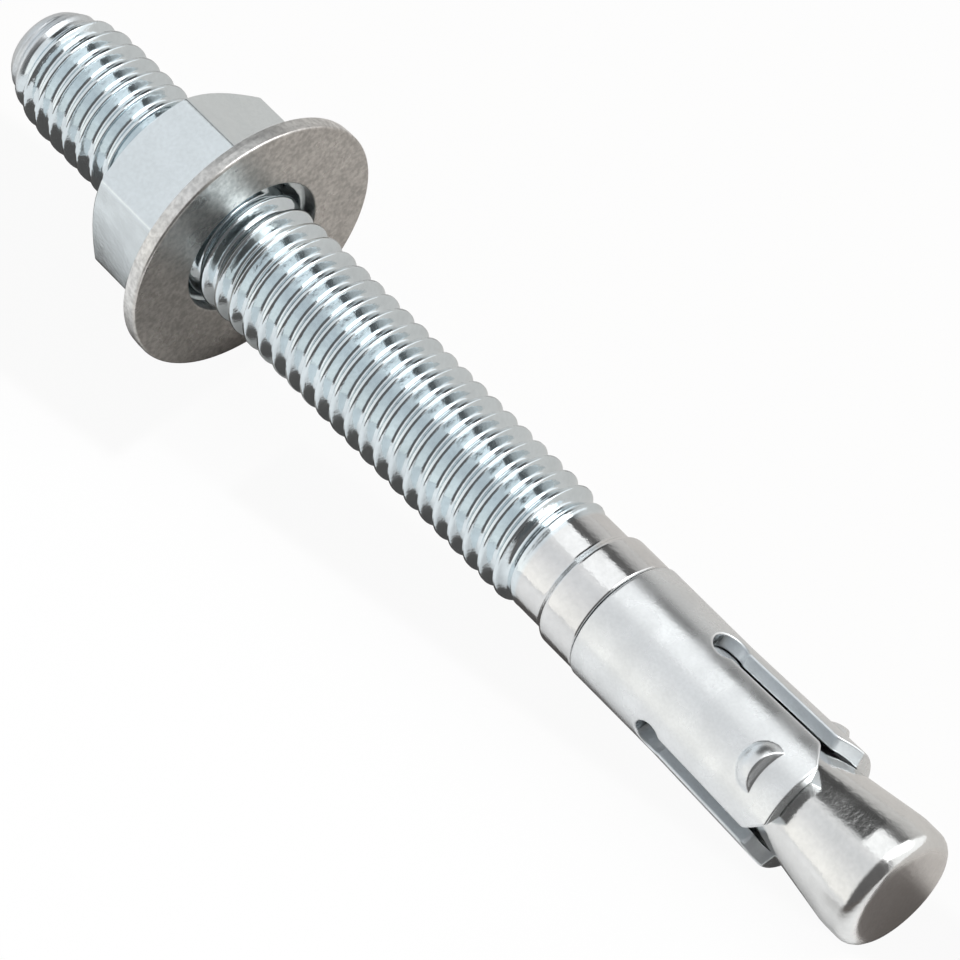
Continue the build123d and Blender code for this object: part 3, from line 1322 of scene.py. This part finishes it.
@dataclass(frozen=True)
class HexNut:
    """Cold formed hexagon, tapped. Sizes are in mm."""

    across_flats: float = 14.1
    base: float = 68.37
    top: float = 76.57
    top_chamfer: float = 0.82
    base_chamfer: float = 0.27
    chamfer_angle: float = 30.0
    edge: float = 0.12
    corner: float = 0.3  # rounding of the upright edges
    mouth: float = 5.2
    tapped_hole: float = 3.97
    thread_play: float = 0.11
    least_chamfer: float = 0.03  # keeps the base's corner from closing up
    chamfer_steps: int = 4
    turn: float = -17.8
    weld: float = 0.002
    segments: int = 96
    form: ThreadForm = ThreadForm()
    half_flat: float = 30.0  # degrees from the middle of a flat to the corner
    # columns between the middle of one flat and the next, in degrees, close together at the corner
    spacing: tuple[float, ...] = (
        0, 8, 15, 21, 25.5, 28, 29, 29.5, 30, 30.5, 31, 32, 34.5, 39, 45, 52
    )

    def side(self, turn: float) -> float:
        """Distance from the axis to the rounded hexagon.

        Args:
            turn: degrees from the middle of a flat.

        Returns:
            The distance.
        """
        half = math.radians(self.half_flat)
        angle = math.radians((turn + self.half_flat) % (2 * self.half_flat) - self.half_flat)
        flat = self.across_flats / 2 / math.cos(angle)
        # a circle that touches both flats rounds the corner
        centre = (self.across_flats / 2 - self.corner) / math.cos(half)
        off = half - abs(angle)
        square = self.corner**2 - (centre * math.sin(off)) ** 2
        touch = math.atan2(centre * math.sin(half), self.across_flats / 2)
        if abs(angle) < touch or square < 0:
            return flat
        return centre * math.cos(off) + math.sqrt(square)

    def column(self, turn: float) -> Profile:
        """Outline of the outside from the base's mouth to the top's mouth.

        Args:
            turn: degrees from the middle of a flat.

        Returns:
            Radius and height pairs.
        """
        side = self.side(turn)
        slope = math.tan(math.radians(self.chamfer_angle))
        point = self.across_flats / 2 / math.cos(math.radians(self.half_flat))
        base = point - self.base_chamfer / slope
        top = point - self.top_chamfer / slope
        least = self.least_chamfer
        return eased(
            [
                (self.mouth, self.base, 0.0),
                (min(base, side - least / slope), self.base, self.edge),
                (side, self.base + max((side - base) * slope, least), self.edge),
                (side, self.top - (side - top) * slope, self.edge),
                (top, self.top, self.edge),
                (self.mouth, self.top, 0.0),
            ],
            steps=self.chamfer_steps,
        )

    def build(self, finish: bpy.types.Material) -> bpy.types.Object:
        """Joins the tapped hole and the hexagon into one closed skin.

        Args:
            finish: the nut's material.

        Returns:
            The nut.
        """
        thread = ThreadSkin(
            form=self.form,
            start=self.base,
            end=self.top,
            radius_offset=self.thread_play,
            least_radius=self.tapped_hole,
            mouth_radius=self.mouth,
            blank_radius=self.form.outer_radius + self.thread_play,
            segments=self.segments,
        )
        inner, faces = thread.made(finish)
        columns = []
        shift = round(self.turn / 360 * self.segments)
        for n in range(self.segments):
            sector, place = divmod(n, len(self.spacing))
            turn = sector * 2 * self.half_flat + self.spacing[place]
            radius, height = np.array(self.column(turn)).T
            angle = np.full(len(radius), math.radians(turn + self.turn))
            angle[[0, -1]] = (n + shift) * 2 * math.pi / self.segments
            columns.append(around_axis(radius, angle, height))
        rows = len(columns[0])
        first = len(inner)
        for n in range(self.segments):
            here, right = first + n * rows, first + (n + 1) % self.segments * rows
            faces += [[here + k, right + k, right + k + 1, here + k + 1] for k in range(rows - 1)]
        points = np.concatenate([inner, *columns])
        mesh = welded_mesh("hex_nut_tapped", points, faces, self.weld)
        return finish_piece("tapped_nut", mesh, "nut", "hex_nut", finish)


# ---- Studio ----


HALF_TURN = 180  # degrees
PLAIN_WHITE = {"Color": linear_colour("#FFFFFF"), "Strength": 1.0}


@dataclass(frozen=True)
class SoftBox:
    """A large flat lamp that faces the line of the bar, two edges along X. Sizes are in metres."""

    name: str
    middle: float  # place along X
    turn: float  # degrees round X, from the front horizon over the top
    away: float
    size: tuple[float, float]
    brightness: float  # of its face, where 1 is white

    def build(self) -> None:
        """Hangs the lamp."""
        data = bpy.data.lights.new(self.name, "AREA")
        data.shape = "RECTANGLE"
        data.size, data.size_y = self.size
        data.energy = self.brightness * math.pi * self.size[0] * self.size[1]
        lamp = new_object(self.name, data)
        turn = math.radians(self.turn)
        along = Vector((1, 0, 0))
        out = Vector((0, -math.cos(turn), math.sin(turn)))
        lamp.location = out * self.away + along * self.middle
        lamp.rotation_euler = Matrix((along, out.cross(along), out)).transposed().to_euler()


@dataclass(frozen=True)
class Patch:
    """A part of the table between two limits along X and two across it, in metres."""

    left: float
    right: float
    front: float
    back: float
    edge: float  # how far it fades out beyond each limit

    def mask(self, tree: bpy.types.NodeTree, along: Socket, across: Socket) -> Socket:
        """Shows where the patch is.

        Args:
            tree: the tree that gets the nodes.
            along: place along X.
            across: place across the patch's own line.

        Returns:
            1 inside the patch and 0 outside.
        """
        limits = (
            (along, self.left - self.edge, self.left),
            (along, self.right + self.edge, self.right),
            (across, self.front - self.edge, self.front),
            (across, self.back + self.edge, self.back),
        )
        steps = [map_range(tree, place, (start, full), soft=True) for place, start, full in limits]
        return product(tree, steps)


@dataclass(frozen=True)
class Studio:
    """White table with painted shade under and behind the anchor, a tent of pale cloth, three soft
    boxes and the camera. Places are in metres.
    """

    camera_place: tuple[float, float, float] = (0.194998, -0.114121, 0.316722)
    camera_turn: tuple[float, float, float] = (35.35958, 6.11399, 50.70005)
    lens_mm: float = 211.681
    sensor_mm: float = 36.0
    nearest: float = 0.01  # the camera sees nothing closer
    table_half: float = 4.0
    paper: str = "#FDFDFD"
    painted_back_shade: str = "#CFCBC7"  # painted shade: the table is greyer behind the anchor, so that the metal mirrors a dimmer floor there
    painted_shade: str = "#534C48"  # painted shade: a dark strip that stands in for the anchor's shadow on the table, which the metal mirrors
    painted_shade_slant: float = 0.13  # the strip lies askew
    # painted shade on the table, which the metal mirrors: the strip, its piece under the nut, and
    # the near right corner of the table
    painted_shade_patches: tuple[Patch, ...] = (
        Patch(-0.012, 0.085, -0.0082, -0.0035, 0.0016),
        Patch(-0.06, -0.0215, -0.0112, 0.004, 0.0016),
        Patch(0.05, 4.0, -4.0, -0.04, 0.03),
    )
    paper_glow: float = 0.95  # share of plain white that table and tent show to the camera
    paper_sheen: float = 0.06  # and in the metal, which mirrors their own greys instead
    # degrees round X from the front horizon over the top to the back one, and the tent's grey there
    tent: tuple[tuple[float, str], ...] = (
        (0, "#FFFDF9"),
        (10, "#FFFDF9"),
        (29, "#F3F2F0"),
        (51, "#E2E2E3"),
        (64, "#DADBDD"),
        (76, "#DADBDD"),
        (85, "#E6E6E7"),
        (91, "#D0D1D2"),
        (128, "#D0D1D2"),
        (130, "#454444"),
        (143, "#484746"),
        (152, "#9F9E9D"),
        (162, "#BAB8B6"),
        (176, "#C7C5C3"),
    )
    tent_level: float = 1.19
    tent_end: str = "#DCE2E7"  # what closes the tent at both ends of the bar
    wall: str = "#FFFFFF"  # the tent's side behind the cone end
    doorway: str = "#4C4A4A"  # unlit room beyond the tent's opening, on the camera's side
    corner: str = "#1C1B1B"  # and past the tent's far back corner
    # soft edges of these, from where each starts to where it is full, along one axis of a ray's way
    end_edge: tuple[float, float] = (0.72, 0.93)
    wall_edge: tuple[float, float] = (-0.12, 0.12)
    doorway_edge: tuple[float, float] = (0.3, 0.05)
    corner_right: tuple[float, float] = (-0.44, -0.52)
    corner_left: tuple[float, float] = (-0.86, -0.78)
    corner_front: tuple[float, float] = (0.0, 0.14)
    corner_foot: tuple[float, float] = (158, 149)  # degrees round X
    lamps: tuple[SoftBox, ...] = (
        SoftBox("back_box", -0.065, 108.5, 0.66, (0.53, 0.47), 0.5),
        SoftBox("side_box", 0.4, 135.0, 0.66, (0.45, 0.4), 1.6),
        SoftBox("right_box", 0.28, 120.0, 0.7, (0.55, 0.6), 2.3),
    )

    def camera(self) -> None:
        """Creates the camera and makes it the scene's."""
        data = bpy.data.cameras.new("camera")
        data.lens = self.lens_mm
        data.sensor_width = self.sensor_mm
        data.clip_start = self.nearest
        camera = new_object("camera", data)
        camera.location = self.camera_place
        camera.rotation_euler = Euler([math.radians(turn) for turn in self.camera_turn])
        bpy.context.scene.camera = camera

    def background_share(self, tree: bpy.types.NodeTree) -> Socket:
        """Share of plain white in what a ray sees: most for camera and glass, a little in metal.

        Args:
            tree: the tree that gets the nodes.

        Returns:
            The share's socket.
        """
        ray = add_node(tree, "ShaderNodeLightPath").outputs
        share: Socket | float = 0.0
        for kind, part in (
            ("Is Camera Ray", self.paper_glow),
            ("Is Transmission Ray", self.paper_glow),
            ("Is Glossy Ray", self.paper_sheen),
        ):
            share = calculate(tree, "MULTIPLY_ADD", ray[kind], part, share)
        return share

    def table(self) -> None:
        """Lays a large sheet under the anchor, with painted shade: greyer behind it and darker in
        patches. It shows as white and still keeps the shadow.
        """
        mesh = bpy.data.meshes.new("table")
        half = self.table_half
        corners = [(-half, -half, 0), (half, -half, 0), (half, half, 0), (-half, half, 0)]
        mesh.from_pydata(corners, [], [(0, 1, 2, 3)])
        material = bpy.data.materials.new("white_paper")
        material.use_nodes = True
        tree = material.node_tree
        tree.nodes.clear()
        spot = split_place(tree, "Object")
        askew = calculate(tree, "MULTIPLY_ADD", spot["X"], -self.painted_shade_slant, spot["Y"])
        strip = self.painted_shade_patches[0]
        # painted shade: the table turns greyer from the strip's front edge backwards
        behind = map_range(tree, askew, (strip.front - strip.edge, strip.front), soft=True)
        colour = mixed(tree, behind, linear_colour(self.paper), self.painted_back_shade)
        # painted shade: the dark strip, its piece under the nut and the table's near right corner,
        # mirrored by the metal
        for patch in self.painted_shade_patches:
            colour = mixed(tree, patch.mask(tree, spot["X"], askew), colour, self.painted_shade)
        paper = add_node(tree, "ShaderNodeBsdfDiffuse", {"Color": colour}).outputs[0]
        glow = add_node(tree, "ShaderNodeEmission", PLAIN_WHITE).outputs[0]
        sides = {0: self.background_share(tree), 1: paper, 2: glow}
        shader = add_node(tree, "ShaderNodeMixShader", sides)
        add_node(tree, "ShaderNodeOutputMaterial", {"Surface": shader.outputs[0]})
        mesh.materials.append(material)
        new_object("table", mesh)

    def room(self) -> None:
        """Paints the tent: greys round the bar's line, its ends, one wall and two gaps."""
        world = bpy.data.worlds.new("studio")
        bpy.context.scene.world = world
        world.use_nodes = True
        tree = world.node_tree
        tree.nodes.clear()
        way = split_place(tree, "Generated")
        turn = calculate(tree, "ARCTAN2", way["Z"], calculate(tree, "MULTIPLY", way["Y"], -1.0))
        share = calculate(tree, "DIVIDE", turn, math.pi)
        ramp = add_node(tree, "ShaderNodeValToRGB", {"Fac": share})
        stops = ramp.color_ramp.elements
        for stop, (degrees, grey) in ((stops[0], self.tent[0]), (stops[-1], self.tent[-1])):
            stop.position, stop.color = degrees / HALF_TURN, linear_colour(grey)
        for degrees, grey in self.tent[1:-1]:
            stops.new(degrees / HALF_TURN).color = linear_colour(grey)
        along = calculate(tree, "ABSOLUTE", way["X"])
        foot = tuple(degrees / HALF_TURN for degrees in self.corner_foot)
        end, near, ahead, *corner = (
            map_range(tree, value, edge, soft=True)
            for value, edge in (
                (along, self.end_edge),
                (way["X"], self.wall_edge),
                (way["Y"], self.doorway_edge),
                (way["X"], self.corner_right),
                (way["X"], self.corner_left),
                (way["Y"], self.corner_front),
                (share, foot),
            )
        )
        colour = ramp.outputs[0]
        for factor, code in (
            (end, self.tent_end),
            (near, self.wall),
            (product(tree, [near, ahead]), self.doorway),
            (product(tree, corner), self.corner),
        ):
            colour = mixed(tree, factor, colour, code)
        lit = {"Color": colour, "Strength": self.tent_level}
        light = add_node(tree, "ShaderNodeBackground", lit).outputs[0]
        plain = add_node(tree, "ShaderNodeBackground", PLAIN_WHITE).outputs[0]
        sides = {0: self.background_share(tree), 1: light, 2: plain}
        both = add_node(tree, "ShaderNodeMixShader", sides)
        add_node(tree, "ShaderNodeOutputWorld", {"Surface": both.outputs[0]})

    def build(self) -> None:
        """Sets up the whole studio."""
        self.camera()
        self.table()
        self.room()
        for lamp in self.lamps:
            lamp.build()
        bpy.context.scene.view_settings.view_transform = "Standard"


def main() -> None:
    """Builds and dresses every piece, then the studio round them."""
    logging.basicConfig(level=logging.INFO, format="%(message)s")
    Stud().build(BAR_ZINC.material())
    ExpansionClip().build(CLIP_ZINC.material())
    Washer().build(WASHER_ZINC.material())
    HexNut().build(NUT_ZINC.material())
    Studio().build()


if __name__ == "__main__":
    main()
